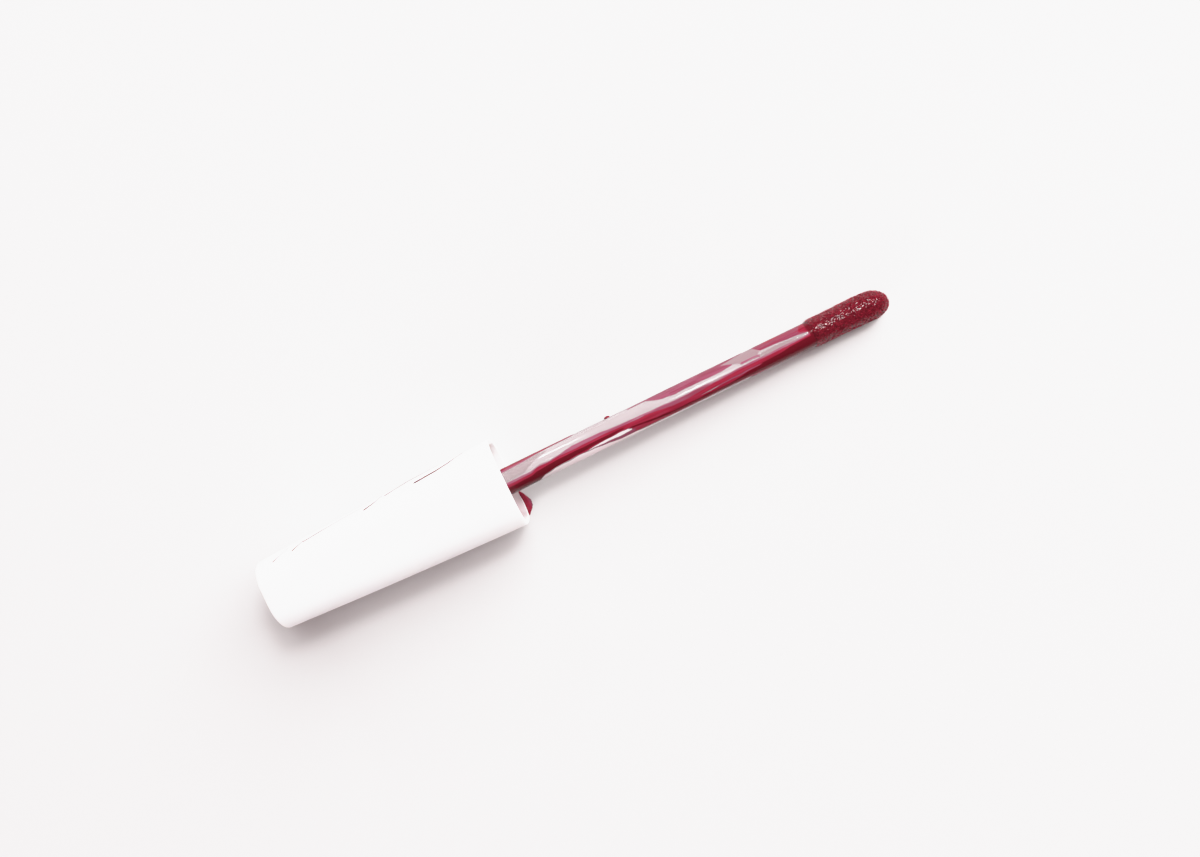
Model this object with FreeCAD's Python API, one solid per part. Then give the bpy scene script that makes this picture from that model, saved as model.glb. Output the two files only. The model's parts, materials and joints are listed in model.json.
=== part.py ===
"""Lip gloss applicator cap: a square white over-cap with a threaded liner, a clear wand and a flocked tip.

Every piece is drawn in the cap's own axes, in millimetres: the wand's axis is X, the mouth of the cap is
the plane X = 0, the wand points to +X and the closed end of the cap to -X. At the end all pieces are laid
down together, as the cap lies on a table: on the lower edge of its mouth and on the side of its tip.
"""
import FreeCAD, Part
import math
import os

Vector = FreeCAD.Vector
X_AXIS = Vector(1, 0, 0)
Y_AXIS = Vector(0, 1, 0)
ORIGIN = Vector(0, 0, 0)
TOLERANCE = 1e-4

# Over-cap
CAP_LENGTH = 43.1
MOUTH_ACROSS = 15.5            # across the flats
CLOSED_END_ACROSS = 11.9
CORNER_RADIUS = 4.8
CAP_WALL = 1.0
END_WALL = 1.1
END_EDGE_RADIUS = 0.6
RIM_EDGE_RADIUS = 0.2

# Threaded liner, pressed into the over-cap on its ribs
LINER_MOUTH_X = -1.7
LINER_OUTER_RADIUS = 5.8
LINER_BORE_RADIUS = 5.15
LINER_BORE_LENGTH = 10.5
LINER_PLATE = 1.0
LEAD_IN = 0.3
SOCKET_RADIUS = 3.2
SOCKET_DEPTH = 7.0             # of the blind hole that holds the wand
SOCKET_END_WALL = 0.8
COLLAR_HEIGHT = 1.0            # the socket stands this far out of the plate, inside the seal
RIB_WIDTH = 0.9
RIB_SETBACK = 1.3              # from the liner's mouth to the start of its ribs
RIBS_ON_FLATS = 1.9            # from the middle of each flat to its two ribs
RIB_OVERLAP = CAP_WALL / 3     # how far each rib is sunk into the liner's wall
THREAD_PITCH = 2.0
THREAD_TURNS = 1.75
THREAD_DEPTH = 0.5
THREAD_ROOT_WIDTH = 1.1
THREAD_CREST_WIDTH = 0.5
THREAD_SETBACK = 2.0           # from the liner's mouth to the middle of the first turn
THREAD_OVERLAP = 0.15          # how far the ridge is sunk into the wall

# Seal
SEAL_THICKNESS = 1.0
SEAL_OUTER_RADIUS = 5.0
SEAL_CLEARANCE = 0.1

# Wand
STEM_ROOT_RADIUS = 2.32        # at the mouth of the cap
STEM_TIP_RADIUS = 2.195        # where the fibres start
STEM_LENGTH = 57.3             # from the mouth of the cap to the fibres
STUB_RADIUS = 2.1
SNAP_RING_RADIUS = 2.3
SNAP_RING_LENGTH = 1.0
SNAP_RING_RAMP = SNAP_RING_LENGTH / 3
SNAP_RING_FROM_SHOULDER = 5.0
STUB_LEAD = 0.4
SHOULDER_FALL = 1 / 3          # drop of a chamfered start, as a share of its length

# Flocked tip
TIP_LENGTH = 14.0
FLOCK_RADIUS = 2.45
FLOCK_NOSE = 4.3               # length of the rounded end
FLOCK_SHOULDER = 0.5
CORE_RADIUS = 1.6
CORE_NOSE = 2.6
FLOCK_THICKNESS_AT_END = 0.8
PLUG_RADIUS = 1.2
PLUG_LENGTH = 6.0
BARB_HEIGHT = 0.15
BARB_LENGTH = 1.2
BARB_COUNT = 3

# Gloss left on the wand
FILM_THICKNESS = 0.1
FILM_START = 0.6
FILM_WRAP_DEG = 230.0
FILM_MIDDLE_DEG = 250.0        # round the wand from +Y towards +Z

# Search for the angle at which the cap lies
STEEPEST_LIE = math.radians(30)
HALVINGS = 60


def half_at(x, mouth_half, closed_half):
    """Half the distance across the flats of a tapering square at station x."""
    return mouth_half + (mouth_half - closed_half) * x / CAP_LENGTH


def tapered_square(x_closed, x_open, wall):
    """A solid between two stations, inset by wall from the over-cap's outside, with sharp corners."""
    small = half_at(x_closed, MOUTH_ACROSS / 2, CLOSED_END_ACROSS / 2) - wall
    large = half_at(x_open, MOUTH_ACROSS / 2, CLOSED_END_ACROSS / 2) - wall
    wedge = Part.makeWedge(-small, x_closed, -small, -large, -large, small, x_open, small, large, large)
    wedge.rotate(ORIGIN, Vector(0, 0, 1), -90)
    return wedge


def long_edges(solid):
    """The edges that run from the closed end to the mouth."""
    return [e for e in solid.Edges if abs(e.Vertexes[0].X - e.Vertexes[-1].X) > CAP_LENGTH / 4]


def edges_at(solid, x):
    """The edges that lie in the plane at station x."""
    return [e for e in solid.Edges if e.BoundBox.XMax < x + TOLERANCE and e.BoundBox.XMin > x - TOLERANCE]


def cap_cavity(x_open):
    """The hollow of the over-cap, from its end wall to x_open."""
    cavity = tapered_square(END_WALL - CAP_LENGTH, x_open, CAP_WALL)
    return cavity.makeFillet(CORNER_RADIUS - CAP_WALL, long_edges(cavity))


def make_cap_shell():
    body = tapered_square(-CAP_LENGTH, 0, 0)
    body = body.makeFillet(CORNER_RADIUS, long_edges(body))
    body = body.makeFillet(END_EDGE_RADIUS, edges_at(body, -CAP_LENGTH))
    body = body.makeFillet(RIM_EDGE_RADIUS, edges_at(body, 0))
    shell = body.cut(cap_cavity(CAP_WALL))
    return shell.Solids[0]


def revolve(profile):
    """Turn a closed outline of (x, radius) points round the X axis."""
    points = [Vector(x, radius, 0) for x, radius in profile]
    face = Part.Face(Part.makePolygon(points + [points[0]]))
    return face.revolve(ORIGIN, X_AXIS, 360)


def bullet(x_start, radius, x_nose, x_end, shoulder):
    """A round bar with a chamfered start and an elliptical nose."""
    nose_length = x_end - x_nose
    start_radius = radius - shoulder * SHOULDER_FALL
    ellipse = Part.Ellipse(Vector(x_nose, 0, 0), max(nose_length, radius), min(nose_length, radius))
    quarter = ellipse.toShape(0, math.pi / 2)
    outline = Part.Wire([
        Part.makeLine(Vector(x_start, 0, 0), Vector(x_start, start_radius, 0)),
        Part.makeLine(Vector(x_start, start_radius, 0), Vector(x_start + shoulder, radius, 0)),
        Part.makeLine(Vector(x_start + shoulder, radius, 0), Vector(x_nose, radius, 0)),
        quarter,
        Part.makeLine(Vector(x_end, 0, 0), Vector(x_start, 0, 0)),
    ])
    return Part.Face(outline).revolve(ORIGIN, X_AXIS, 360)


LINER_PLATE_X = LINER_MOUTH_X - LINER_BORE_LENGTH     # the face that the seal lies on
STEM_SHOULDER_X = LINER_PLATE_X + COLLAR_HEIGHT
STUB_END_X = STEM_SHOULDER_X - SOCKET_DEPTH
TIP_END_X = STEM_LENGTH + TIP_LENGTH


def stem_radius(x):
    return STEM_ROOT_RADIUS + (STEM_TIP_RADIUS - STEM_ROOT_RADIUS) * x / STEM_LENGTH


def make_tip_core():
    """The soft core under the fibres, with a barbed plug that goes into the wand."""
    end_x = TIP_END_X - FLOCK_THICKNESS_AT_END
    core = bullet(STEM_LENGTH, CORE_RADIUS, end_x - CORE_NOSE, end_x, FLOCK_SHOULDER)
    plug_start = STEM_LENGTH - PLUG_LENGTH
    barb_pitch = PLUG_LENGTH / (BARB_COUNT + 1)
    profile = [(plug_start, 0), (plug_start, PLUG_RADIUS - BARB_HEIGHT)]
    for i in range(BARB_COUNT):
        start = plug_start + (i + 0.5) * barb_pitch
        profile.append((start, PLUG_RADIUS))
        profile.append((start + BARB_LENGTH, PLUG_RADIUS + BARB_HEIGHT))
        profile.append((start + BARB_LENGTH, PLUG_RADIUS))
    profile += [(STEM_LENGTH, PLUG_RADIUS), (STEM_LENGTH, 0)]
    return core.fuse(revolve(profile)).removeSplitter()


def make_stem(tip_core):
    """The clear rod: a stub with a snap ring, a shoulder, a slight taper and a blind hole for the tip."""
    ring_end = STEM_SHOULDER_X - SNAP_RING_FROM_SHOULDER
    ring_start = ring_end - SNAP_RING_LENGTH
    rod = revolve([
        (STUB_END_X, 0),
        (STUB_END_X, STUB_RADIUS - STUB_LEAD),
        (STUB_END_X + STUB_LEAD, STUB_RADIUS),
        (ring_start, STUB_RADIUS),
        (ring_start + SNAP_RING_RAMP, SNAP_RING_RADIUS),
        (ring_end - SNAP_RING_RAMP, SNAP_RING_RADIUS),
        (ring_end, STUB_RADIUS),
        (STEM_SHOULDER_X, STUB_RADIUS),
        (STEM_SHOULDER_X, stem_radius(STEM_SHOULDER_X)),
        (STEM_LENGTH, STEM_TIP_RADIUS),
        (STEM_LENGTH, 0),
    ])
    return rod.cut(tip_core).Solids[0]


def make_thread():
    """The ridge inside the liner, as one tapered-section coil."""
    length = THREAD_PITCH * THREAD_TURNS
    root = LINER_BORE_RADIUS + THREAD_OVERLAP
    crest = LINER_BORE_RADIUS - THREAD_DEPTH
    helix = Part.makeHelix(THREAD_PITCH, length, LINER_BORE_RADIUS)
    section = Part.makePolygon([
        Vector(root, 0, -THREAD_ROOT_WIDTH / 2),
        Vector(root, 0, THREAD_ROOT_WIDTH / 2),
        Vector(crest, 0, THREAD_CREST_WIDTH / 2),
        Vector(crest, 0, -THREAD_CREST_WIDTH / 2),
        Vector(root, 0, -THREAD_ROOT_WIDTH / 2),
    ])
    ridge = Part.Wire(helix.Edges).makePipeShell([section], True, True)
    ridge.rotate(ORIGIN, Y_AXIS, -90)
    ridge.translate(Vector(LINER_MOUTH_X - THREAD_SETBACK, 0, 0))
    return ridge


def make_ribs(cavity):
    """Two ribs on each flat and one in each corner, trimmed to the over-cap's inside faces."""
    start = LINER_MOUTH_X - RIB_SETBACK
    end = LINER_PLATE_X - LINER_PLATE
    reach = MOUTH_ACROSS
    inner = LINER_OUTER_RADIUS - RIB_OVERLAP
    bars = []
    for quarter in range(4):
        for offset in (-RIBS_ON_FLATS, RIBS_ON_FLATS):
            bar = Part.makeBox(start - end, RIB_WIDTH, reach, Vector(end, offset - RIB_WIDTH / 2, 0))
            bar.rotate(ORIGIN, X_AXIS, 90 * quarter)
            bars.append(bar)
        corner = Part.makeBox(start - end, RIB_WIDTH, reach, Vector(end, -RIB_WIDTH / 2, 0))
        corner.rotate(ORIGIN, X_AXIS, 45 + 90 * quarter)
        bars.append(corner)
    core = Part.makeCylinder(inner, start - end, Vector(end, 0, 0), X_AXIS)
    return [bar.common(cavity).cut(core) for bar in bars]


def make_inner_cap(stem):
    """The threaded liner: tube, plate, socket for the wand, ribs and thread."""
    back_x = LINER_PLATE_X - LINER_PLATE
    socket_end = STUB_END_X - SOCKET_END_WALL
    body = revolve([
        (LINER_MOUTH_X, LINER_OUTER_RADIUS),
        (LINER_MOUTH_X, LINER_BORE_RADIUS + LEAD_IN),
        (LINER_MOUTH_X - LEAD_IN, LINER_BORE_RADIUS),
        (LINER_PLATE_X, LINER_BORE_RADIUS),
        (LINER_PLATE_X, SOCKET_RADIUS),
        (STEM_SHOULDER_X, SOCKET_RADIUS),
        (STEM_SHOULDER_X, 0),
        (socket_end, 0),
        (socket_end, SOCKET_RADIUS - LEAD_IN),
        (socket_end + LEAD_IN, SOCKET_RADIUS),
        (back_x, SOCKET_RADIUS),
        (back_x, LINER_OUTER_RADIUS - LEAD_IN),
        (back_x + LEAD_IN, LINER_OUTER_RADIUS),
    ])
    body = body.cut(stem)
    body = body.fuse(make_ribs(cap_cavity(0)))
    body = body.fuse(make_thread())
    return body.Solids[0]


def make_seal_washer():
    inner = SOCKET_RADIUS + SEAL_CLEARANCE
    return revolve([
        (LINER_PLATE_X, inner),
        (LINER_PLATE_X + SEAL_THICKNESS, inner),
        (LINER_PLATE_X + SEAL_THICKNESS, SEAL_OUTER_RADIUS),
        (LINER_PLATE_X, SEAL_OUTER_RADIUS),
    ])


def flock_outside():
    return bullet(STEM_LENGTH, FLOCK_RADIUS, TIP_END_X - FLOCK_NOSE, TIP_END_X, FLOCK_SHOULDER)


def make_flock_sleeve(tip_core):
    return flock_outside().cut(tip_core).Solids[0]


def make_gloss_film():
    """A thin skin of gloss that wraps most of the wand."""
    points = [
        Vector(FILM_START, stem_radius(FILM_START), 0),
        Vector(STEM_LENGTH, STEM_TIP_RADIUS, 0),
        Vector(STEM_LENGTH, STEM_TIP_RADIUS + FILM_THICKNESS, 0),
        Vector(FILM_START, stem_radius(FILM_START) + FILM_THICKNESS, 0),
    ]
    face = Part.Face(Part.makePolygon(points + [points[0]]))
    face.rotate(ORIGIN, X_AXIS, FILM_MIDDLE_DEG - FILM_WRAP_DEG / 2)
    return face.revolve(ORIGIN, X_AXIS, FILM_WRAP_DEG)


def depth_of_rim(angle):
    """How far the lower edge of the mouth reaches below the axis when the tip is turned down by angle."""
    taper = math.atan((MOUTH_ACROSS - CLOSED_END_ACROSS) / 2 / CAP_LENGTH)
    down = MOUTH_ACROSS / 2 - RIM_EDGE_RADIUS * (math.tan(taper) + 1 / math.cos(taper))
    return down * math.cos(angle) - RIM_EDGE_RADIUS * math.sin(angle) + RIM_EDGE_RADIUS


def depth_of_tip(angle):
    """How far the flocked tip reaches below the axis's height at the mouth, at the same angle."""
    nose = math.hypot(FLOCK_NOSE * math.sin(angle), FLOCK_RADIUS * math.cos(angle))
    return (TIP_END_X - FLOCK_NOSE) * math.sin(angle) + nose


def lying_angle():
    """The angle at which the rim and the tip touch the table together, found by halving."""
    low, high = 0.0, STEEPEST_LIE
    for _ in range(HALVINGS):
        middle = (low + high) / 2
        if depth_of_tip(middle) < depth_of_rim(middle):
            low = middle
        else:
            high = middle
    return low


def lay_down(pieces):
    """Turn and move every piece together to where the cap lies, with the origin under its middle."""
    angle = lying_angle()
    for piece in pieces.values():
        piece.rotate(ORIGIN, Y_AXIS, math.degrees(angle))
    box = Part.makeCompound(list(pieces.values())).optimalBoundingBox(False, False)
    move = Vector(-(box.XMin + box.XMax) / 2, 0, depth_of_rim(angle))
    for piece in pieces.values():
        piece.translate(move)
    print("lying angle %.4f deg, mouth centre at x %.4f z %.4f" % (math.degrees(angle), move.x, move.z))


def main():
    cap_shell = make_cap_shell()
    tip_core = make_tip_core()
    stem = make_stem(tip_core)
    pieces = {
        "cap_shell": cap_shell,
        "inner_cap": make_inner_cap(stem),
        "seal_washer": make_seal_washer(),
        "stem": stem,
        "tip_core": tip_core,
        "flock_sleeve": make_flock_sleeve(tip_core),
        "gloss_film": make_gloss_film(),
    }
    lay_down(pieces)
    os.makedirs("parts", exist_ok=True)
    for name, piece in pieces.items():
        print("%-13s %d solid, valid %s, %.1f mm3" % (name, len(piece.Solids), piece.isValid(), piece.Volume))
        piece.exportStep("parts/%s.step" % name)


main()
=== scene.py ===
"""Looks of a lip gloss applicator cap: a white cap, a clear wand streaked with gloss, a wet flocked tip."""

import json
import math

import bpy
import numpy as np
from mathutils import Matrix, Vector


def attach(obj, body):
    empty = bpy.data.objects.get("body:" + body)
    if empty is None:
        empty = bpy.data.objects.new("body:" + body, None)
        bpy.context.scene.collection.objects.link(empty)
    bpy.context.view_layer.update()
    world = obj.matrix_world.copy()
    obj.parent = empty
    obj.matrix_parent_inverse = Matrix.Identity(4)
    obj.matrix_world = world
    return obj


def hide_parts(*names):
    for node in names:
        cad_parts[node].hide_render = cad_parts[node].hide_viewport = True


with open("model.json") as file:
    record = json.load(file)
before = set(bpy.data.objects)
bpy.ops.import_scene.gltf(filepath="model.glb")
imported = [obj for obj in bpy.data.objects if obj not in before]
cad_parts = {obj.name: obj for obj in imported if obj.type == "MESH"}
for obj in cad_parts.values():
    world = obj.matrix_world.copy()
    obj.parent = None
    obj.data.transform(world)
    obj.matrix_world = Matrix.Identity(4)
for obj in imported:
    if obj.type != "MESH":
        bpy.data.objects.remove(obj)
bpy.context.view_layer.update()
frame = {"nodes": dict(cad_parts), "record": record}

# ---------------------------------------------------------------- dimensions, in millimetres
MM = 0.001

CAP_LENGTH = 43.1
CAP_MOUTH_ACROSS = 15.5
CAP_CLOSED_ACROSS = 11.9
CAP_CORNER = 4.8
CAP_WALL = 1.0
CAP_LIP_WALL = 0.8             # at the mouth, where the inside is flared
CAP_LIP_DEPTH = 1.8            # how deep the flare goes
CAP_END_WALL = 1.1
CAP_END_EDGE = 0.6
CAP_RIM_EDGE = 0.2
CAP_CROWN = 0.15               # how far each side bulges at its middle
CAP_CORNER_LOSS = 0.35         # how much the corner radius shrinks per millimetre of half width
RESIDUE_AND_SHADE_WALL = 0.55            # tint of gloss residue and painted shade on the inner walls, from 0 to 1, apart from the lower one, which has all
# Tint of the hairline of painted shade along the upper edge of the mouth.
PAINTED_SHADE_EDGE = 0.8

STEM_RADIUS_MOUTH = 2.32
STEM_RADIUS_TIP = 2.195
STEM_END = 57.3
STEM_SHOULDER = -11.2
STEM_STUB_END = -18.2
STEM_STUB_RADIUS = 2.1
STEM_STUB_LEAD = 0.3
STEM_EDGE = 0.12

TIP_END = 71.3
FLOCK_START = 56.7
FLOCK_NOSE = 4.3
FLOCK_START_RADIUS = 2.30
FLOCK_SHOULDER = 0.6
FLOCK_BELLY = 0.07
FLOCK_BLUNTNESS = 2.6          # the power of the nose's outline: 2 is an ellipse, more is blunter
NOSE_LEAN = -0.3               # how far the nose's end is pushed across
NOSE_LEAN_LENGTH = 6.0
MAT_RADIUS = 2.40
MAT_END = TIP_END - 0.1
MAT_FINE_LUMPS = 0.055
MAT_BROAD_LUMPS = 0.03
FIBRE_COUNT = 12400
FIBRE_LENGTH = 0.26
FIBRE_WIDTH = 0.045
FIBRE_ROOT = 0.05              # how far a fibre's root is sunk into the mat
FIBRE_SCATTER = 0.45
FIBRE_SWEEP = 0.35             # how far the fibres are combed towards the nose
FIBRE_RISE = 0.35              # the least outward part of a fibre's direction

FILM_START = -0.5
FILM_END = STEM_END - 0.05
FILM_BASE = 0.01               # thickness of the thinnest gloss
FILM_THICKNESS = 0.05          # what the thickest gloss adds to that
FILM_RIPPLE = 0.006
FILM_ROOT = 0.02               # how far the film's inner face lies inside the wand
BARE = 0.11                    # the share of gloss where the wand shows clear
MOTTLE_FINE = 0.07
MOTTLE_BROAD = 0.05
STREAK_WANDER_DEG = 1.6

# The bead on the rim: places across the cap, and how far the bead stands out from the rim at each.
BEAD_PLACES = (-7.3, -6.8, -6.3, -5.7, -5.0, -4.2, -3.3, -2.5)
BEAD_REACHES = (0.02, 0.45, 0.95, 1.30, 1.28, 1.02, 0.60, 0.02)
BEAD_HEIGHT = -7.05
BEAD_DEPTH = 0.42
BEAD_ROOT = 0.15               # how far it goes into the rim
BEAD_LUMPS = 0.07

DROP_PLACE = (19.4, 2.36, 0.2)
DROP_RADII = (0.52, 0.24, 0.34)
DROP_GLOSS = 0.8

# Painted shadow hairlines on the cap's edge, where thin contact shadows of cloth ridges fall: how far they
# stand off the cap, and how dark they are.
SHADOW_LINE_LIFT = 0.04
SHADOW_LINE_GLOSS = 0.95

# ---------------------------------------------------------------- camera and light
CAMERA_PLACE = (11.32, 4.37, 152.45)
CAMERA_TARGET = (3.35, 1.04, 0.0)
CAMERA_ROLL = math.radians(25.91)
CAMERA_LENS = 26.0
CAMERA_SENSOR = 36.0

KEY_TURN = math.radians(-30)
KEY_ELEVATION = math.radians(43)
KEY_DISTANCE = 1.5
KEY_SIZE = 1.8
KEY_POWER = 57.0
CORE_ELEVATION = math.radians(56)
CORE_SIZE = 0.30
CORE_POWER = 7.6
GLINT_TURN = math.radians(26)
GLINT_ELEVATION = math.radians(24)
GLINT_DISTANCE = 0.8
GLINT_SIZE = 0.06
GLINT_POWER = 0.5
LINE_TURN = math.radians(-13)
LINE_ELEVATION = math.radians(66.5)
LINE_SIZE = 0.06
LINE_POWER = 0.5
FILL_TURN = math.radians(150)
FILL_ELEVATION = math.radians(13)
FILL_DISTANCE = 1.2
FILL_SIZE = 0.5
FILL_POWER = 7.5
FILL_COLOUR = (1.0, 0.90, 0.91)
WHITE_LIGHT = (1.0, 1.0, 1.0)
SKY_STRENGTH = 0.17
SKY_COLOUR = (1.0, 0.50, 0.53, 1.0)
BACKDROP_STRENGTH = 1.15
FLOOR_SIZE = 1.6

# The view's tone curve: the brightness in the scene, and the brightness shown.
TONE_WHITE = 3.0
TONE_POINTS = [
    (0.36, 0.36),
    (0.62, 0.62),
    (0.80, 0.785),
    (0.95, 0.875),
    (1.10, 0.922),
    (1.40, 0.944),
    (2.00, 0.955),
]
TONE_TOP = 0.965

SEED = 7

# ---------------------------------------------------------------- the object's own axes
mounts = {m["name"]: m for m in frame["record"]["mounts"]}
ALONG = Vector(mounts["neck_thread"]["axis"]).normalized()
ACROSS = Vector((0.0, 1.0, 0.0))
UPWARD = ALONG.cross(ACROSS)
_thread = Vector(mounts["neck_thread"]["pos_m"])
_rim = Vector(mounts["mouth_rim"]["pos_m"])
MOUTH = _thread + ALONG * (_rim - _thread).dot(ALONG)
AXES = np.array([ALONG, ACROSS, UPWARD])


def to_frame(points):
    """Points along, across and above the object's axis, in millimetres, as points in the row frame."""
    return np.asarray(points, float) @ AXES * MM + np.array(MOUTH)


def above_floor(points):
    """The same points, with any that would dip below the floor lifted straight up to it."""
    points = np.asarray(points, float)
    depth = np.maximum(0.0, -to_frame(points)[..., 2]) / MM
    return points + depth[..., None] * AXES[:, 2]


# ---------------------------------------------------------------- mesh helpers
def add_mesh(name, points, faces):
    """A smooth-shaded piece of the object."""
    mesh = bpy.data.meshes.new(name)
    mesh.from_pydata([tuple(p) for p in to_frame(points)], [], faces)
    mesh.polygons.foreach_set("use_smooth", [True] * len(mesh.polygons))
    mesh.update()
    piece = bpy.data.objects.new(name, mesh)
    bpy.context.scene.collection.objects.link(piece)
    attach(piece, "root")
    return piece


def ring_faces(rings, around, loop=False):
    """Quads between successive rings of points. With loop, the last ring joins the first."""
    faces = []
    for i in range(rings if loop else rings - 1):
        low, high = i * around, (i + 1) % rings * around
        for j in range(around):
            k = (j + 1) % around
            faces.append((low + j, low + k, high + k, high + j))
    return faces


def closed_skin(name, rings, first_centre, last_centre, slot):
    """A closed mesh through rings of points, shut at both ends by a fan round a centre point."""
    rings = np.asarray(rings, float)
    count, around = rings.shape[:2]
    points = list(rings.reshape(-1, 3)) + [first_centre, last_centre]
    faces = ring_faces(count, around)
    start, end = count * around, count * around + 1
    last = (count - 1) * around
    for j in range(around):
        k = (j + 1) % around
        faces.append((start, k, j))
        faces.append((end, last + j, last + k))
    return add_mesh(name, points, faces)


def set_value(piece, name, values):
    attribute = piece.data.attributes.new(name, "FLOAT", "POINT")
    attribute.data.foreach_set("value", np.asarray(values, np.float32))


def smooth_step(edge0, edge1, value):
    t = np.clip((value - edge0) / (edge1 - edge0), 0.0, 1.0)
    return t * t * (3.0 - 2.0 * t)


def grain(x, angle, length, width, seed):
    """Smooth random lumps from -1 to 1 over a wand surface, each about length by width millimetres."""
    random = np.random.default_rng(seed)
    across = max(3, round(2 * math.pi * STEM_RADIUS_MOUTH / width))
    x, angle = np.broadcast_arrays(x, angle)
    u = (x - STEM_STUB_END) / length
    v = angle / (2 * math.pi) * across
    table = random.uniform(-1, 1, (int(u.max()) + 3, across))
    i, j = np.floor(u).astype(int), np.floor(v).astype(int)
    f, g = smooth_step(0, 1, u - i), smooth_step(0, 1, v - j)
    j, k = j % across, (j + 1) % across
    near = table[i, j] * (1 - g) + table[i, k] * g
    far = table[i + 1, j] * (1 - g) + table[i + 1, k] * g
    return near * (1 - f) + far * f


# ---------------------------------------------------------------- material helpers
def new_material(name, **inputs):
    """A material with some shader inputs set, each named with underscores for its spaces."""
    material = bpy.data.materials.new(name)
    material.use_nodes = True
    shader = material.node_tree.nodes["Principled BSDF"]
    for label, value in inputs.items():
        shader.inputs[label.replace("_", " ")].default_value = value
    return material, material.node_tree, shader


def add_node(tree, kind, **settings):
    node = tree.nodes.new(kind)
    for label, value in settings.items():
        setattr(node, label, value)
    return node


def noise(tree, scale, detail=4.0, stretch=(1.0, 1.0, 1.0)):
    """A noise texture in object space, with its grain stretched by the given factors."""
    place = add_node(tree, "ShaderNodeTexCoord")
    turn = add_node(tree, "ShaderNodeMapping")
    turn.inputs["Scale"].default_value = stretch
    texture = add_node(tree, "ShaderNodeTexNoise")
    texture.inputs["Scale"].default_value = scale
    texture.inputs["Detail"].default_value = detail
    tree.links.new(place.outputs["Object"], turn.inputs["Vector"])
    tree.links.new(turn.outputs["Vector"], texture.inputs["Vector"])
    return texture.outputs["Fac"]


def ramp(tree, value, *stops):
    """A colour that follows a value, through the given (value, colour) stops."""
    node = add_node(tree, "ShaderNodeValToRGB")
    elements = node.color_ramp.elements
    while len(elements) < len(stops):
        elements.new(0.5)
    for element, (place, colour) in zip(elements, stops):
        element.position = place
        element.color = (*colour, 1.0)
    tree.links.new(value, node.inputs["Fac"])
    return node.outputs["Color"]


def remap(tree, value, low, high):
    """A value from 0 to 1, moved to run from low to high."""
    node = add_node(tree, "ShaderNodeMapRange")
    node.inputs["From Min"].default_value = 0.0
    node.inputs["To Min"].default_value = low
    node.inputs["To Max"].default_value = high
    tree.links.new(value, node.inputs["Value"])
    return node.outputs["Result"]


def bump(tree, shader, height, strength, distance_mm):
    node = add_node(tree, "ShaderNodeBump")
    node.inputs["Strength"].default_value = strength
    node.inputs["Distance"].default_value = distance_mm * MM
    tree.links.new(height, node.inputs["Height"])
    tree.links.new(node.outputs["Normal"], shader.inputs["Normal"])


def give(piece, material):
    piece.data.materials.clear()
    piece.data.materials.append(material)


# ---------------------------------------------------------------- materials
def cap_material():
    """White plastic, tinted inside the mouth by a thin residue of gloss together with painted shade of the
    hollow, and by a hairline of painted shade along the mouth's upper edge.
    """
    material, tree, shader = new_material("cap_white", Specular_IOR_Level=0.4)
    shader.inputs["Subsurface Weight"].default_value = 0.8
    shader.inputs["Subsurface Radius"].default_value = (1.0, 0.95, 0.9)
    shader.inputs["Subsurface Scale"].default_value = 2.0 * MM
    white = ramp(tree, noise(tree, 90.0), (0.3, (0.87, 0.88, 0.88)), (0.7, (0.91, 0.92, 0.92)))
    mix = add_node(tree, "ShaderNodeMix", data_type="RGBA")
    residue_and_shade = add_node(tree, "ShaderNodeAttribute", attribute_name="residue_and_shade")
    tree.links.new(residue_and_shade.outputs["Fac"], mix.inputs["Factor"])
    tree.links.new(white, mix.inputs["A"])
    # The colour of the tint inside the mouth: gloss residue and painted shade.
    mix.inputs["B"].default_value = (0.55, 0.46, 0.475, 1.0)
    tree.links.new(mix.outputs["Result"], shader.inputs["Base Color"])
    tree.links.new(remap(tree, noise(tree, 700.0), 0.32, 0.46), shader.inputs["Roughness"])
    bump(tree, shader, noise(tree, 2200.0, 2.0), 0.12, 0.02)
    return material


def liner_material():
    material, tree, shader = new_material("liner_natural", Specular_IOR_Level=0.5)
    shader.inputs["Subsurface Weight"].default_value = 0.3
    shader.inputs["Subsurface Scale"].default_value = 0.5 * MM
    tree.links.new(
        ramp(tree, noise(tree, 260.0), (0.35, (0.70, 0.69, 0.68)), (0.7, (0.80, 0.79, 0.78))),
        shader.inputs["Base Color"],
    )
    tree.links.new(remap(tree, noise(tree, 900.0), 0.3, 0.5), shader.inputs["Roughness"])
    return material


def foam_material():
    material, tree, shader = new_material("seal_foam", Specular_IOR_Level=0.3)
    cells = noise(tree, 3800.0, 1.0)
    tree.links.new(
        ramp(tree, cells, (0.4, (0.62, 0.60, 0.60)), (0.6, (0.84, 0.83, 0.82))),
        shader.inputs["Base Color"],
    )
    tree.links.new(remap(tree, cells, 0.7, 0.95), shader.inputs["Roughness"])
    bump(tree, shader, cells, 0.6, 0.05)
    return material


def clear_material():
    """Clear plastic with a faint haze, as partial cover and gloss instead of refraction."""
    material, tree, shader = new_material("clear_plastic", Alpha=0.55, Specular_IOR_Level=0.8)
    haze = noise(tree, 400.0, 3.0, (0.2, 1.0, 1.0))
    tree.links.new(
        ramp(tree, haze, (0.3, (0.33, 0.29, 0.298)), (0.7, (0.38, 0.337, 0.345))),
        shader.inputs["Base Color"],
    )
    tree.links.new(remap(tree, haze, 0.04, 0.1), shader.inputs["Roughness"])
    return material


def core_material():
    material, tree, shader = new_material("core_plastic", Roughness=0.4)
    tree.links.new(
        ramp(tree, noise(tree, 600.0), (0.3, (0.40, 0.10, 0.16)), (0.7, (0.62, 0.26, 0.34))),
        shader.inputs["Base Color"],
    )
    return material


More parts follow.
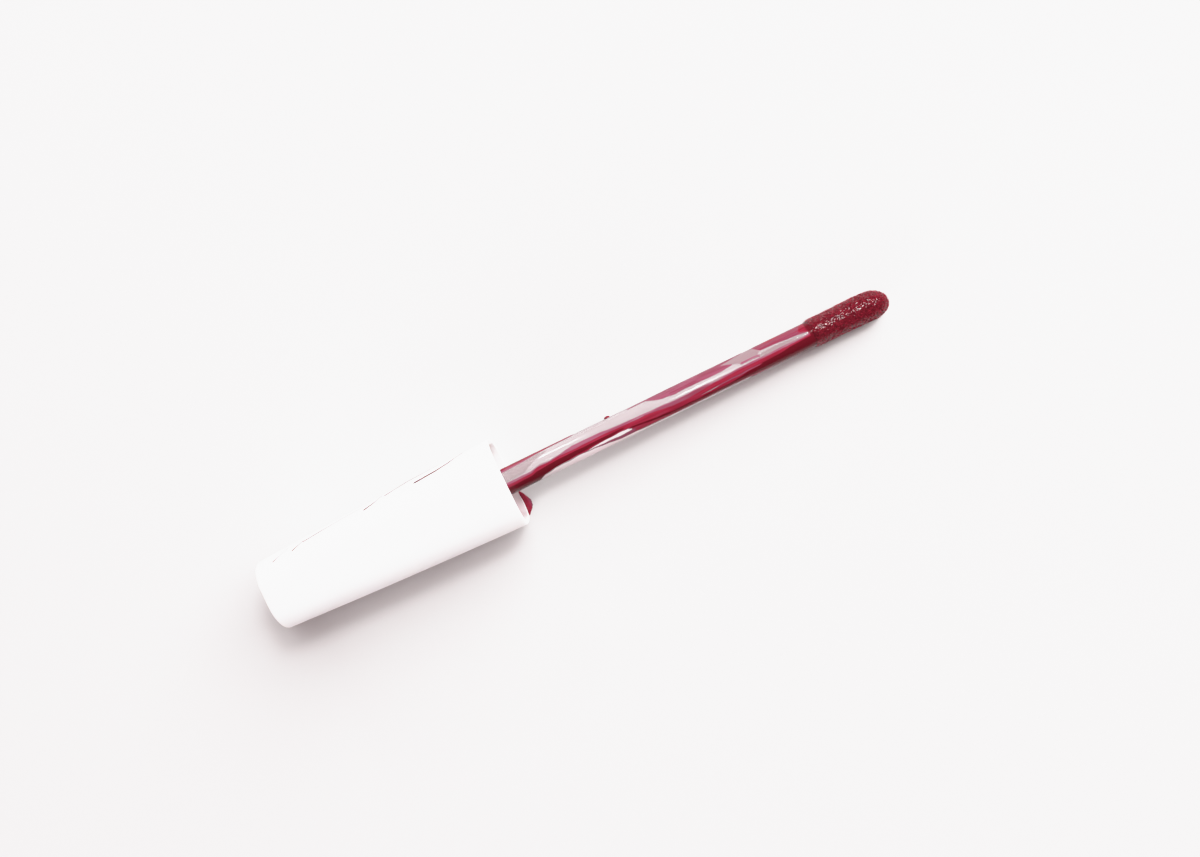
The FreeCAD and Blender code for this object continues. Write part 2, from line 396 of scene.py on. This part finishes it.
def flock_material():
    """Wine-red fibres matted together and soaked, glossy as a wet surface."""
    material, tree, shader = new_material("wet_flock", Specular_IOR_Level=0.6)
    speckle = noise(tree, 2600.0, 3.0)
    tree.links.new(
        ramp(tree, speckle, (0.4, (0.08, 0.005, 0.010)), (0.65, (0.15, 0.009, 0.018))),
        shader.inputs["Base Color"],
    )
    tree.links.new(remap(tree, noise(tree, 1500.0), 0.04, 0.12), shader.inputs["Roughness"])
    return material


def fibre_material():
    """Loose fibres, softly lit along their sides."""
    material, tree, shader = new_material("flock_fibre", Specular_IOR_Level=0.0, Roughness=0.6)
    shader.inputs["Sheen Weight"].default_value = 0.5
    shader.inputs["Sheen Roughness"].default_value = 0.4
    shader.inputs["Sheen Tint"].default_value = (0.75, 0.06, 0.13, 1.0)
    tree.links.new(
        ramp(tree, noise(tree, 2600.0, 3.0), (0.4, (0.17, 0.008, 0.018)), (0.62, (0.36, 0.018, 0.042))),
        shader.inputs["Base Color"],
    )
    return material


def gloss_material():
    """Gloss whose colour and cover follow how thick it lies: dark where thick, then pink, then grey, and a
    trace leaves the wand clear. Where the value is 0 there is a milky haze instead; the two strips of it
    along the wand's lower edge are painted light, a pale band standing in for light that passes through the
    clear rod."""
    material, tree, shader = new_material("lip_gloss", Roughness=0.10, Specular_IOR_Level=0.22)
    thick = add_node(tree, "ShaderNodeAttribute", attribute_name="gloss").outputs["Fac"]
    tree.links.new(
        ramp(
            tree,
            thick,
            (0.0, (0.82, 0.72, 0.74)),
            (0.11, (0.50, 0.43, 0.44)),
            (0.23, (0.31, 0.235, 0.245)),
            (0.34, (0.29, 0.078, 0.135)),
            (0.50, (0.20, 0.040, 0.070)),
            (0.70, (0.25, 0.016, 0.038)),
            (0.95, (0.10, 0.005, 0.011)),
        ),
        shader.inputs["Base Color"],
    )
    cover = ramp(
        tree,
        thick,
        (0.0, (0.85, 0.85, 0.85)),
        (0.07, (0.0, 0.0, 0.0)),
        (0.15, (0.0, 0.0, 0.0)),
        (0.23, (0.7, 0.7, 0.7)),
        (0.34, (0.8, 0.8, 0.8)),
        (0.6, (0.96, 0.96, 0.96)),
    )
    tree.links.new(cover, shader.inputs["Alpha"])
    return material


def floor_material():
    material, tree, shader = new_material("floor", Roughness=0.9, Specular_IOR_Level=0.1)
    shader.inputs["Base Color"].default_value = (0.60, 0.598, 0.598, 1.0)
    return material


# ---------------------------------------------------------------- the cap
def cap_half(x):
    """Half the cap's width across the flats at x, with the slight crown of its sides."""
    share = -x / CAP_LENGTH
    straight = CAP_MOUTH_ACROSS + (CAP_CLOSED_ACROSS - CAP_MOUTH_ACROSS) * share
    return straight / 2 + CAP_CROWN * 4 * share * (1 - share)


def rounded_square(half, corner, corner_steps=14, flat_steps=6):
    """Points round a square with rounded corners, as (across, above) pairs."""
    corner = min(corner, half * 0.98)
    points = []
    for quarter in range(4):
        turn = quarter * math.pi / 2
        centre = half - corner
        side = np.linspace(-centre, centre, flat_steps, endpoint=False)
        quad = [(half, s) for s in side]
        for i in range(corner_steps):
            a = i / corner_steps * math.pi / 2
            quad.append((centre + corner * math.cos(a), centre + corner * math.sin(a)))
        for y, z in quad:
            turned = (y * math.cos(turn) - z * math.sin(turn), y * math.sin(turn) + z * math.cos(turn))
            points.append(turned)
    return points


def section(x, half, corner):
    return [(x, y, z) for y, z in rounded_square(half, corner)]


def wall_at(x):
    """The wall's thickness at x, which is less at the lip."""
    return CAP_WALL + (CAP_LIP_WALL - CAP_WALL) * float(smooth_step(-CAP_LIP_DEPTH, 0.0, x))


def corner_at(half):
    """The radius of the cap's outer corners where it is half this wide."""
    return CAP_CORNER - (CAP_MOUTH_ACROSS / 2 - half) * CAP_CORNER_LOSS


def mouth_residue_and_shade(rings, inner_start, edge_rings):
    """How strongly each point of the cap is tinted by gloss residue and painted shade: the inner walls, most
    of all the lower one, and a hairline of painted shade on the upper edge of the mouth."""
    points = np.asarray(rings, float)
    x, across, height = points[..., 0], points[..., 1], points[..., 2]
    ring = np.arange(len(points))[:, None]
    lower = smooth_step(0.0, -5.0, height) * smooth_step(-16.0, -8.0, x) * smooth_step(2.5, -1.5, across)
    wall = np.where(ring >= inner_start + edge_rings - 2, RESIDUE_AND_SHADE_WALL + (1 - RESIDUE_AND_SHADE_WALL) * lower, 0.0)
    edge = np.where((ring == inner_start - 1) | (ring == inner_start), PAINTED_SHADE_EDGE, 0.0)
    shade_hairline = edge * smooth_step(1.0, 3.0, height) * smooth_step(1.0, 3.0, across)
    end_centres = [0.0, 0.0]
    return np.concatenate([np.maximum(wall, shade_hairline).ravel(), end_centres])


def make_cap():
    """The shell in one closed skin: closed end, sides, rim, inner walls and inner end."""
    rings = []
    quarter = np.linspace(0.0, math.pi / 2, 7)
    end_half = cap_half(-CAP_LENGTH + CAP_END_EDGE)
    for share in (0.25, 0.5, 0.75):
        rings.append(section(-CAP_LENGTH, (end_half - CAP_END_EDGE) * share, corner_at(end_half) * share))
    for a in quarter:
        half = end_half - CAP_END_EDGE * (1 - math.sin(a))
        rings.append(section(-CAP_LENGTH + CAP_END_EDGE * (1 - math.cos(a)), half, corner_at(half)))
    for x in np.linspace(-CAP_LENGTH + CAP_END_EDGE, -CAP_RIM_EDGE, 48)[1:]:
        half = cap_half(x)
        rings.append(section(x, half, corner_at(half)))
    mouth_half = cap_half(-CAP_RIM_EDGE)
    for a in quarter[1:]:
        half = mouth_half - CAP_RIM_EDGE * (1 - math.cos(a))
        rings.append(section(-CAP_RIM_EDGE * (1 - math.sin(a)), half, corner_at(half)))
    lip = wall_at(0.0)
    inner = mouth_half - lip
    inner_start = len(rings)
    for a in quarter:
        half = inner + CAP_RIM_EDGE * (1 - math.sin(a))
        rings.append(section(-CAP_RIM_EDGE * (1 - math.cos(a)), half, corner_at(half + lip) - lip))
    bottom = -CAP_LENGTH + CAP_END_WALL
    flare = np.linspace(-CAP_RIM_EDGE, -CAP_LIP_DEPTH, 10)[1:]
    straight = np.linspace(-CAP_LIP_DEPTH, bottom, 36)[1:]
    for x in (*flare, *straight):
        wall = wall_at(x)
        half = cap_half(x) - wall
        rings.append(section(x, half, corner_at(half + wall) - wall))
    half = cap_half(bottom) - CAP_WALL
    for share in (0.6, 0.3):
        rings.append(section(bottom, half * share, (corner_at(half) - CAP_WALL) * share))
    piece = closed_skin("cap_skin", rings, (-CAP_LENGTH, 0, 0), (bottom, 0, 0), "cap_white")
    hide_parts("cap_shell")
    # Gloss residue and painted shade inside the mouth, and a painted shade hairline on its upper edge.
    set_value(piece, "residue_and_shade", mouth_residue_and_shade(rings, inner_start, len(quarter)))
    give(piece, cap_material())


# ---------------------------------------------------------------- the wand
def stem_radius(x):
    share = np.clip(x / STEM_END, 0.0, 1.0)
    return STEM_RADIUS_MOUTH + (STEM_RADIUS_TIP - STEM_RADIUS_MOUTH) * share


def round_ring(x, radius, around):
    """Points round the wand's axis at x."""
    angles = np.linspace(0, 2 * math.pi, around, endpoint=False)
    return [(x, radius * math.sin(a), radius * math.cos(a)) for a in angles]


def make_stem():
    """The clear rod: a stub in the socket, a shoulder, a slight taper and a rounded end edge."""
    around = 144
    profile = [
        (STEM_STUB_END, STEM_STUB_RADIUS - STEM_STUB_LEAD),
        (STEM_STUB_END + STEM_STUB_LEAD, STEM_STUB_RADIUS),
        (STEM_SHOULDER - 0.01, STEM_STUB_RADIUS),
        (STEM_SHOULDER, STEM_RADIUS_MOUTH),
    ]
    for x in np.linspace(STEM_SHOULDER + 0.1, STEM_END - STEM_EDGE, 60):
        profile.append((x, float(stem_radius(x))))
    for a in np.linspace(0, math.pi / 2, 5)[1:]:
        x = STEM_END - STEM_EDGE * (1 - math.sin(a))
        profile.append((x, STEM_RADIUS_TIP - STEM_EDGE * (1 - math.cos(a))))
    rings = [round_ring(x, r, around) for x, r in profile]
    piece = closed_skin("stem_rod", rings, (STEM_STUB_END, 0, 0), (STEM_END, 0, 0), "clear_plastic")
    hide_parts("stem")
    give(piece, clear_material())


# ---------------------------------------------------------------- the flocked tip
def flock_radius(x):
    """Radius of the flock's root surface: a soft start, a slight belly and a blunt nose."""
    x = np.asarray(x, float)
    start = smooth_step(FLOCK_START, FLOCK_START + FLOCK_SHOULDER, x)
    belly = FLOCK_BELLY * smooth_step(STEM_END + 4, TIP_END - 5, x)
    radius = FLOCK_START_RADIUS + (MAT_RADIUS - FLOCK_START_RADIUS) * start + belly
    nose_start = TIP_END - FLOCK_NOSE
    nose = np.clip((x - nose_start) / (MAT_END - nose_start), 0.0, 1.0)
    return radius * np.sqrt(1.0 - nose**FLOCK_BLUNTNESS)


def nose_lean(x):
    """How far the nose's centre is pushed to one side."""
    share = np.clip((np.asarray(x, float) - (TIP_END - NOSE_LEAN_LENGTH)) / NOSE_LEAN_LENGTH, 0, 1)
    return NOSE_LEAN * share**1.5


def make_flock_mat():
    """The matted root layer of the flock, lumpy with wet clumps."""
    around, count = 250, 230
    share = np.linspace(0, 1, count)
    stations = FLOCK_START + (MAT_END - FLOCK_START) * (1 - (1 - share) ** 1.35)
    angles = np.linspace(0, 2 * math.pi, around, endpoint=False)
    x, a = np.meshgrid(stations, angles, indexing="ij")
    lumps = MAT_FINE_LUMPS * grain(x, a, 0.26, 0.24, SEED)
    lumps += MAT_BROAD_LUMPS * grain(x, a, 0.9, 0.7, SEED + 1)
    radius = flock_radius(x) + lumps * smooth_step(0, 1, (TIP_END - x) / 1.2)
    rings = above_floor(np.stack([x, radius * np.sin(a) + nose_lean(x), radius * np.cos(a)], axis=-1))
    end = (MAT_END, float(nose_lean(TIP_END)), 0)
    mat = closed_skin("flock_mat", rings, (FLOCK_START, 0, 0), end, "wet_flock")
    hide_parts("flock_sleeve")
    give(mat, flock_material())


def make_fibres():
    """Short three-sided fibres over the mat, leaning at random and mostly towards the nose, where they
    stand slightly closer."""
    random = np.random.default_rng(SEED)
    base = FLOCK_START + (TIP_END - 0.2 - FLOCK_START) * random.uniform(0, 1, FIBRE_COUNT) ** 0.92
    turn = random.uniform(0, 2 * math.pi, FIBRE_COUNT)
    grip = flock_radius(base) - FIBRE_ROOT
    slope = np.clip((flock_radius(base + 0.05) - flock_radius(base - 0.05)) / 0.1, -3.0, 0.3)
    root = np.stack([base, grip * np.sin(turn) + nose_lean(base), grip * np.cos(turn)], axis=-1)
    outward = np.stack([-slope, np.sin(turn), np.cos(turn)], axis=-1)
    outward /= np.linalg.norm(outward, axis=1)[:, None]
    way = outward + (FIBRE_SWEEP, 0.0, 0.0) + random.normal(0, FIBRE_SCATTER, (FIBRE_COUNT, 3))
    way += outward * np.maximum(0, FIBRE_RISE - (way * outward).sum(1))[:, None]
    way /= np.linalg.norm(way, axis=1)[:, None]
    length = FIBRE_LENGTH * random.uniform(0.5, 1.2, FIBRE_COUNT)
    side = np.cross(way, outward + (0.01, 0.02, 0.0))
    side /= np.linalg.norm(side, axis=1)[:, None]
    third = np.cross(way, side)
    points = []
    for share_up, thick in ((0.0, 1.0), (0.45, 0.9), (0.85, 0.6)):
        centre = root + way * (length * share_up)[:, None]
        for corner in range(3):
            c = corner / 3 * 2 * math.pi
            points.append(centre + (side * math.cos(c) + third * math.sin(c)) * FIBRE_WIDTH / 2 * thick)
    points.append(root + way * length[:, None])
    cloud = above_floor(np.stack(points, axis=1).reshape(-1, 3))
    faces = []
    for f in range(FIBRE_COUNT):
        o = f * len(points)
        for corner in range(3):
            after = (corner + 1) % 3
            for low in (o, o + 3):
                faces.append((low + corner, low + after, low + 3 + after, low + 3 + corner))
            faces.append((o + 6 + corner, o + 6 + after, o + 9))
        faces.append((o + 2, o + 1, o))
    fibres = add_mesh("flock_fibres", cloud, faces)
    give(fibres, fibre_material())


# ---------------------------------------------------------------- the gloss left on the wand
# Each streak: how thickly it lies from 0 to 1, how soft its edges are in degrees, then its outline as
# (along the wand in mm, lower edge, upper edge), the edges in degrees from the top of the wand.
STREAKS = [
    # The first two streaks, at level 0, are painted light: pale milky strips along the wand's lower edge that
    # stand in for light passing through the clear rod.
    (0.0, 6, [(4.6, -90, -70), (6, -92, -50), (8, -92, -40), (12, -92, -36), (18, -90, -16),
              (23.4, -86, -16)]),
    (0.0, 4, [(22.6, -92, -56), (26, -92, -64), (34, -92, -68), (42, -92, -70), (46, -90, -76)]),
    (0.46, 4, [(44.5, -82, -58), (48, -86, -62), (52, -90, -70), (57.3, -94, -80)]),
    (0.205, 16, [(-0.5, -4, 70), (3.0, 0, 66), (5.0, 24, 62), (6.5, 40, 60), (8.0, 48, 56)]),
    (0.34, 3, [(-0.5, -20, -2), (4, -20, -4), (6, -10, 7), (8, -5, 4), (10, -2, 9), (12, 0, 18),
               (17, 0, 17), (20, 0, 12), (24, 0, 8), (28, -10, 5), (34, -14, 2), (42, -8, 4), (50, -6, 6),
               (57.3, -6, 10)]),
    (0.46, 3, [(25, -8, 1), (28, -14, 1), (33, -18, -1), (37, -12, -2)]),
    (0.72, 3, [(-0.5, -95, -12), (4.0, -76, -12), (5.0, -70, -4), (5.3, -57, -2), (6, -47, -1),
               (8, -37, -1), (10, -33, 1), (14, -31, 1), (18, -21, 2), (22.2, -20, 0), (22.8, -54, 0),
               (26, -58, -3), (30, -60, -16), (33, -60, -18), (38, -60, -6), (42, -61, -4), (46, -66, -4),
               (50, -74, -3), (57.3, -85, 4)]),
    (0.98, 5, [(-0.5, -92, -27), (4, -72, -22), (5, -64, -14), (6, -45, -12), (8, -36, -10), (12, -26, -8),
               (18, -18, -8), (21, -15, -9)]),
    (0.98, 5, [(22, -24, -18), (27, -42, -32), (30, -52, -37), (40, -56, -41), (44, -56, -28),
               (46, -58, -20), (50, -68, -16), (53, -74, -8), (57.3, -84, -3)]),
    (0.44, 2, [(13.5, -33, -32), (15, -37, -34), (18, -44, -35), (20, -54, -37), (22.8, -54, -33)]),
    (0.46, 3, [(-0.5, 47, 92), (4, 53, 92), (6, 60, 92), (8, 66, 92), (12.5, 68, 88)]),
    (0.80, 3, [(-0.5, 59, 98), (4, 60, 98), (8, 66, 96), (10, 70, 94), (12.8, 73, 90)]),
    (0.45, 2, [(23, 62, 70), (27, 62, 74)]),
    (0.45, 4, [(26.3, 62, 70), (27, 50, 78), (28, 38, 82), (29, 30, 86), (31, 25, 88), (40, 24, 88),
               (42, 30, 88), (43.5, 50, 88), (44.5, 66, 88)]),
    (0.55, 2, [(30.5, 35, 39), (33, 34, 40), (35.5, 36, 39)]),
    (0.25, 6, [(40.3, 52, 56), (42, 34, 62), (43.5, 16, 70), (45, 15, 76), (46.6, 18, 76), (47.2, 34, 72),
               (47.8, 58, 64)]),
    (0.36, 5, [(43.4, 12, 22), (47, 8, 20)]),
    (0.24, 5, [(47.2, 7, 22), (50, 6, 24), (54.0, 8, 18)]),
    (0.52, 4, [(46.6, 60, 90), (47.4, 34, 90), (50, 30, 90), (54, 22, 90), (56.0, 15, 90),
               (57.3, 4, 90)]),
    (0.70, 4, [(48.2, 66, 74), (49.6, 58, 84), (50.8, 68, 80)]),
    (0.79, 6, [(54.6, 30, 40), (55.4, 24, 70), (56.4, 12, 90), (57.3, 4, 92)]),
    (0.96, 6, [(55.9, 22, 40), (56.3, -20, 90), (56.7, -80, 98), (57.3, -90, 100)]),
    (0.08, 2, [(35.2, -31, -30), (36.5, -32, -28), (38.6, -29, -26)]),
    (0.42, 3, [(38.4, -29, -25), (41, -28, -22), (44, -27, -20), (46.5, -24, -19)]),
    (0.30, 6, [(4, 150, 172), (18, 156, 176), (30, 150, 170)]),
    (0.42, 6, [(20, -150, -132), (40, -156, -122), (57.3, -168, -112)]),
    (0.50, 8, [(34, 120, 150), (48, 116, 160), (57.3, 104, 178)]),
    (0.80, 6, [(44, -122, -84), (52, -130, -84), (57.3, -136, -84)]),
]

# Each painted shadow line, a dark gloss-coloured hairline where a thin contact shadow of a cloth ridge falls
# on the cap: its width in mm and the points it runs through, as (along the cap, degrees from its top).
PAINTED_SHADOW_LINES = [
    (0.26, [(-4.5, 78), (-7.0, 64), (-9.5, 58), (-13.6, 55)]),
    (0.13, [(-9.0, 82), (-15.0, 78), (-19.0, 66)]),
    (0.20, [(-19.3, 74), (-21.0, 60), (-22.8, 54)]),
    (0.13, [(-22.0, 68), (-27.0, 66), (-31.0, 62), (-34.0, 58)]),
    (0.19, [(-33.8, 62), (-36.0, 48)]),
    (0.17, [(-36.6, 66), (-39.6, 46)]),
]


def streak_cover(x, angle, mottle):
    """How thickly the gloss lies at each point of the wand, from 0 to 1, with this share of mottling."""
    degrees = (np.degrees(angle) + 180) % 360 - 180
    fine = grain(x, angle, 3.5, 0.20, SEED + 2)
    broad = grain(x, angle, 2.2, 0.55, SEED + 3)
    mottling = mottle * (MOTTLE_FINE * fine + MOTTLE_BROAD * broad)
    wander = STREAK_WANDER_DEG * grain(x, angle, 1.6, 0.5, SEED + 4)
    total = np.full(x.shape, BARE)
    for depth, soft, outline in STREAKS:
        along, lower, upper = np.array(outline, float).T
        above = smooth_step(-soft / 2, soft / 2, degrees - np.interp(x, along, lower) - wander)
        below = smooth_step(-soft / 2, soft / 2, np.interp(x, along, upper) + wander - degrees)
        mask = above * below * smooth_step(along[0] - 0.25, along[0] + 0.25, x)
        if along[-1] <= STEM_END - 0.1:
            mask = mask * smooth_step(-0.35, 0.25, along[-1] - x)
        level = depth + mottling * (0.3 < depth < 0.95)
        total = total * (1 - mask) + level * mask
    return np.clip(total, 0.0, 1.0)


def make_film():
    """One closed skin: the rippled outer face of the gloss, and a plain inner face inside the wand."""
    around, count = 200, 430
    stations = np.linspace(FILM_START, FILM_END, count)
    angles = np.linspace(0, 2 * math.pi, around, endpoint=False)
    x, a = np.meshgrid(stations, angles, indexing="ij")
    cover = streak_cover(x, a, 1.0)
    depth = streak_cover(x, a, 0.0)
    ripple = FILM_RIPPLE * grain(x, a, 2.8, 0.3, SEED + 5) * smooth_step(0.3, 0.7, depth)
    outer = stem_radius(x) + FILM_BASE + FILM_THICKNESS * depth + ripple
    rings = [np.stack([x, outer * np.sin(a), outer * np.cos(a)], axis=-1)]
    back = np.linspace(FILM_END, FILM_START, 6)
    x, a = np.meshgrid(back, angles, indexing="ij")
    inner = stem_radius(x) - FILM_ROOT
    rings.append(np.stack([x, inner * np.sin(a), inner * np.cos(a)], axis=-1))
    rings = np.concatenate(rings)
    faces = ring_faces(len(rings), around, loop=True)
    piece = add_mesh("gloss_coat", rings.reshape(-1, 3), faces)
    set_value(piece, "gloss", np.concatenate([cover.ravel(), np.zeros(x.size)]))
    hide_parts("gloss_film")
    return piece


def make_drop():
    """The small rounded drop of gloss on the wand's upper edge."""
    around, count = 32, 16
    tilt = np.linspace(0, math.pi, count)[1:-1]
    angles = np.linspace(0, 2 * math.pi, around, endpoint=False)
    t, a = np.meshgrid(tilt, angles, indexing="ij")
    ball = np.stack([np.cos(t), np.sin(t) * np.cos(a), np.sin(t) * np.sin(a)], axis=-1)
    centre = np.array(DROP_PLACE)
    rings = ball * DROP_RADII + centre
    reach = np.array((DROP_RADII[0], 0, 0))
    piece = closed_skin("edge_drop", rings, tuple(centre + reach), tuple(centre - reach), "lip_gloss")
    set_value(piece, "gloss", np.full(len(piece.data.vertices), DROP_GLOSS))
    return piece


def make_rim_bead():
    """The bead of gloss on the front of the lower rim: three-cornered, thin where it meets the plastic."""
    around, count = 40, 40
    y = np.linspace(BEAD_PLACES[0], BEAD_PLACES[-1], count)
    angles = np.linspace(0, 2 * math.pi, around, endpoint=False)
    reach = np.interp(y, BEAD_PLACES, BEAD_REACHES)[:, None]
    y, a = np.meshgrid(y, angles, indexing="ij")
    lumps = BEAD_LUMPS * grain(y, a, 0.35, 0.7, SEED + 6)
    x = (reach + BEAD_ROOT) * (0.5 + 0.5 * np.cos(a)) * (1 + lumps) - BEAD_ROOT
    z = BEAD_HEIGHT + BEAD_DEPTH * np.sqrt(reach / reach.max()) * np.sin(a) * (1 + lumps)
    rings = np.stack([x, y, z], axis=-1)
    ends = [(-0.05, y[0, 0], BEAD_HEIGHT), (-0.05, y[-1, 0], BEAD_HEIGHT)]
    piece = closed_skin("rim_bead", rings, *ends, "lip_gloss")
    cover = 0.74 - 0.3 * smooth_step(0.5, 1.3, x.ravel()) + 0.6 * lumps.ravel()
    end_cover = [0.95, 0.95]
    set_value(piece, "gloss", np.concatenate([cover, end_cover]))
    return piece


def cap_surface(x, angle):
    """A point of the cap's outer face, angle in degrees from its top."""
    half = cap_half(x)
    corner = corner_at(half)
    a = math.radians(angle)
    flat = half - corner
    corner += SHADOW_LINE_LIFT
    return (x, flat * np.sign(math.sin(a)) + corner * math.sin(a), flat + corner * math.cos(a))


def make_painted_shadow_lines():
    """Painted shadow: dark gloss-coloured hairlines along one long edge of the cap, standing in for thin
    contact shadows of cloth ridges.
    """
    turns = np.linspace(0, 2 * math.pi, 6, endpoint=False)
    for number, (width, path) in enumerate(PAINTED_SHADOW_LINES):
        line = np.array([cap_surface(x, angle) for x, angle in path])
        steps = np.linspace(0, len(line) - 1, 40)
        centre = np.stack([np.interp(steps, range(len(line)), line[:, k]) for k in range(3)], axis=-1)
        share = np.linspace(0, 1, len(centre))
        size = width / 2 * (0.25 + 0.75 * share) * smooth_step(0, 0.05, 1.02 - share)
        rings = []
        for (x, y, z), radius in zip(centre, size):
            rings.append([(x, y + radius * math.sin(t), z + radius * math.cos(t)) for t in turns])
        piece = closed_skin(f"smear_{number}", rings, tuple(centre[0]), tuple(centre[-1]), "lip_gloss")
        set_value(piece, "gloss", np.full(len(piece.data.vertices), SHADOW_LINE_GLOSS))
        yield piece


# ---------------------------------------------------------------- stage
def make_stage():
    """The floor, and a soft pink sky behind a backdrop that only the camera sees."""
    bpy.ops.mesh.primitive_plane_add(size=FLOOR_SIZE, location=(0, 0, 0))
    floor = bpy.context.object
    floor.name = "floor"
    give(floor, floor_material())

    world = bpy.data.worlds.new("sky")
    world.use_nodes = True
    tree = world.node_tree
    sky = tree.nodes["Background"]
    sky.inputs["Color"].default_value = SKY_COLOUR
    sky.inputs["Strength"].default_value = SKY_STRENGTH
    backdrop = add_node(tree, "ShaderNodeBackground")
    backdrop.inputs["Strength"].default_value = BACKDROP_STRENGTH
    seen = add_node(tree, "ShaderNodeLightPath").outputs["Is Camera Ray"]
    mix = add_node(tree, "ShaderNodeMixShader")
    tree.links.new(seen, mix.inputs["Fac"])
    tree.links.new(sky.outputs["Background"], mix.inputs[1])
    tree.links.new(backdrop.outputs["Background"], mix.inputs[2])
    tree.links.new(mix.outputs["Shader"], tree.nodes["World Output"].inputs["Surface"])
    bpy.context.scene.world = world


def image_up():
    """The direction on the floor that points up in the view."""
    return Vector((math.sin(CAMERA_ROLL), math.cos(CAMERA_ROLL), 0.0))


def add_light(name, turn, elevation, distance, size, power, colour=WHITE_LIGHT, mirrored=True):
    """A round soft light, its turn measured from the top of the view to its left. If it isn't mirrored,
    glossy surfaces don't show its reflection."""
    light = bpy.data.lights.new(name, "AREA")
    light.shape = "DISK"
    light.size = size
    light.energy = power
    light.color = colour
    lamp = bpy.data.objects.new(name, light)
    lamp.visible_glossy = mirrored
    level = Matrix.Rotation(turn, 3, "Z") @ image_up()
    away = level * math.cos(elevation) + Vector((0, 0, math.sin(elevation)))
    lamp.location = away * distance
    lamp.rotation_mode = "QUATERNION"
    lamp.rotation_quaternion = away.to_track_quat("Z", "Y")
    bpy.context.scene.collection.objects.link(lamp)


def make_camera():
    data = bpy.data.cameras.new("camera")
    data.lens = CAMERA_LENS
    data.sensor_width = CAMERA_SENSOR
    data.clip_start = 0.005
    camera = bpy.data.objects.new("camera", data)
    place = Vector(CAMERA_PLACE) * MM
    back = (place - Vector(CAMERA_TARGET) * MM).normalized()
    right = image_up().cross(back).normalized()
    up = back.cross(right)
    camera.matrix_world = Matrix.Translation(place) @ Matrix((right, up, back)).transposed().to_4x4()
    bpy.context.scene.collection.objects.link(camera)
    bpy.context.scene.camera = camera


def set_tone():
    """A plain view whose brightest tones are eased together, as in a brightly exposed photograph."""
    view = bpy.context.scene.view_settings
    view.view_transform = "Standard"
    view.use_curve_mapping = True
    view.curve_mapping.white_level = (TONE_WHITE, TONE_WHITE, TONE_WHITE)
    curve = view.curve_mapping.curves[3]
    curve.points[-1].location = (1.0, TONE_TOP)
    for scene_value, shown in TONE_POINTS:
        curve.points.new(scene_value / TONE_WHITE, shown)
    view.curve_mapping.update()


make_cap()
give(frame["nodes"]["inner_cap"], liner_material())
give(frame["nodes"]["seal_washer"], foam_material())
give(frame["nodes"]["tip_core"], core_material())
make_stem()
make_flock_mat()
make_fibres()
gloss = gloss_material()
give(make_film(), gloss)
give(make_rim_bead(), gloss)
give(make_drop(), gloss)
# The painted shadow hairlines along the cap's edge.
for painted_shadow_line in make_painted_shadow_lines():
    give(painted_shadow_line, gloss)
make_stage()
add_light("key", KEY_TURN, KEY_ELEVATION, KEY_DISTANCE, KEY_SIZE, KEY_POWER, mirrored=False)
add_light("key_core", KEY_TURN, CORE_ELEVATION, KEY_DISTANCE, CORE_SIZE, CORE_POWER)
add_light(
    "fill", FILL_TURN, FILL_ELEVATION, FILL_DISTANCE, FILL_SIZE, FILL_POWER, FILL_COLOUR, mirrored=False
)
add_light("glint", GLINT_TURN, GLINT_ELEVATION, GLINT_DISTANCE, GLINT_SIZE, GLINT_POWER)
add_light("line_glint", LINE_TURN, LINE_ELEVATION, GLINT_DISTANCE, LINE_SIZE, LINE_POWER)
make_camera()
set_tone()
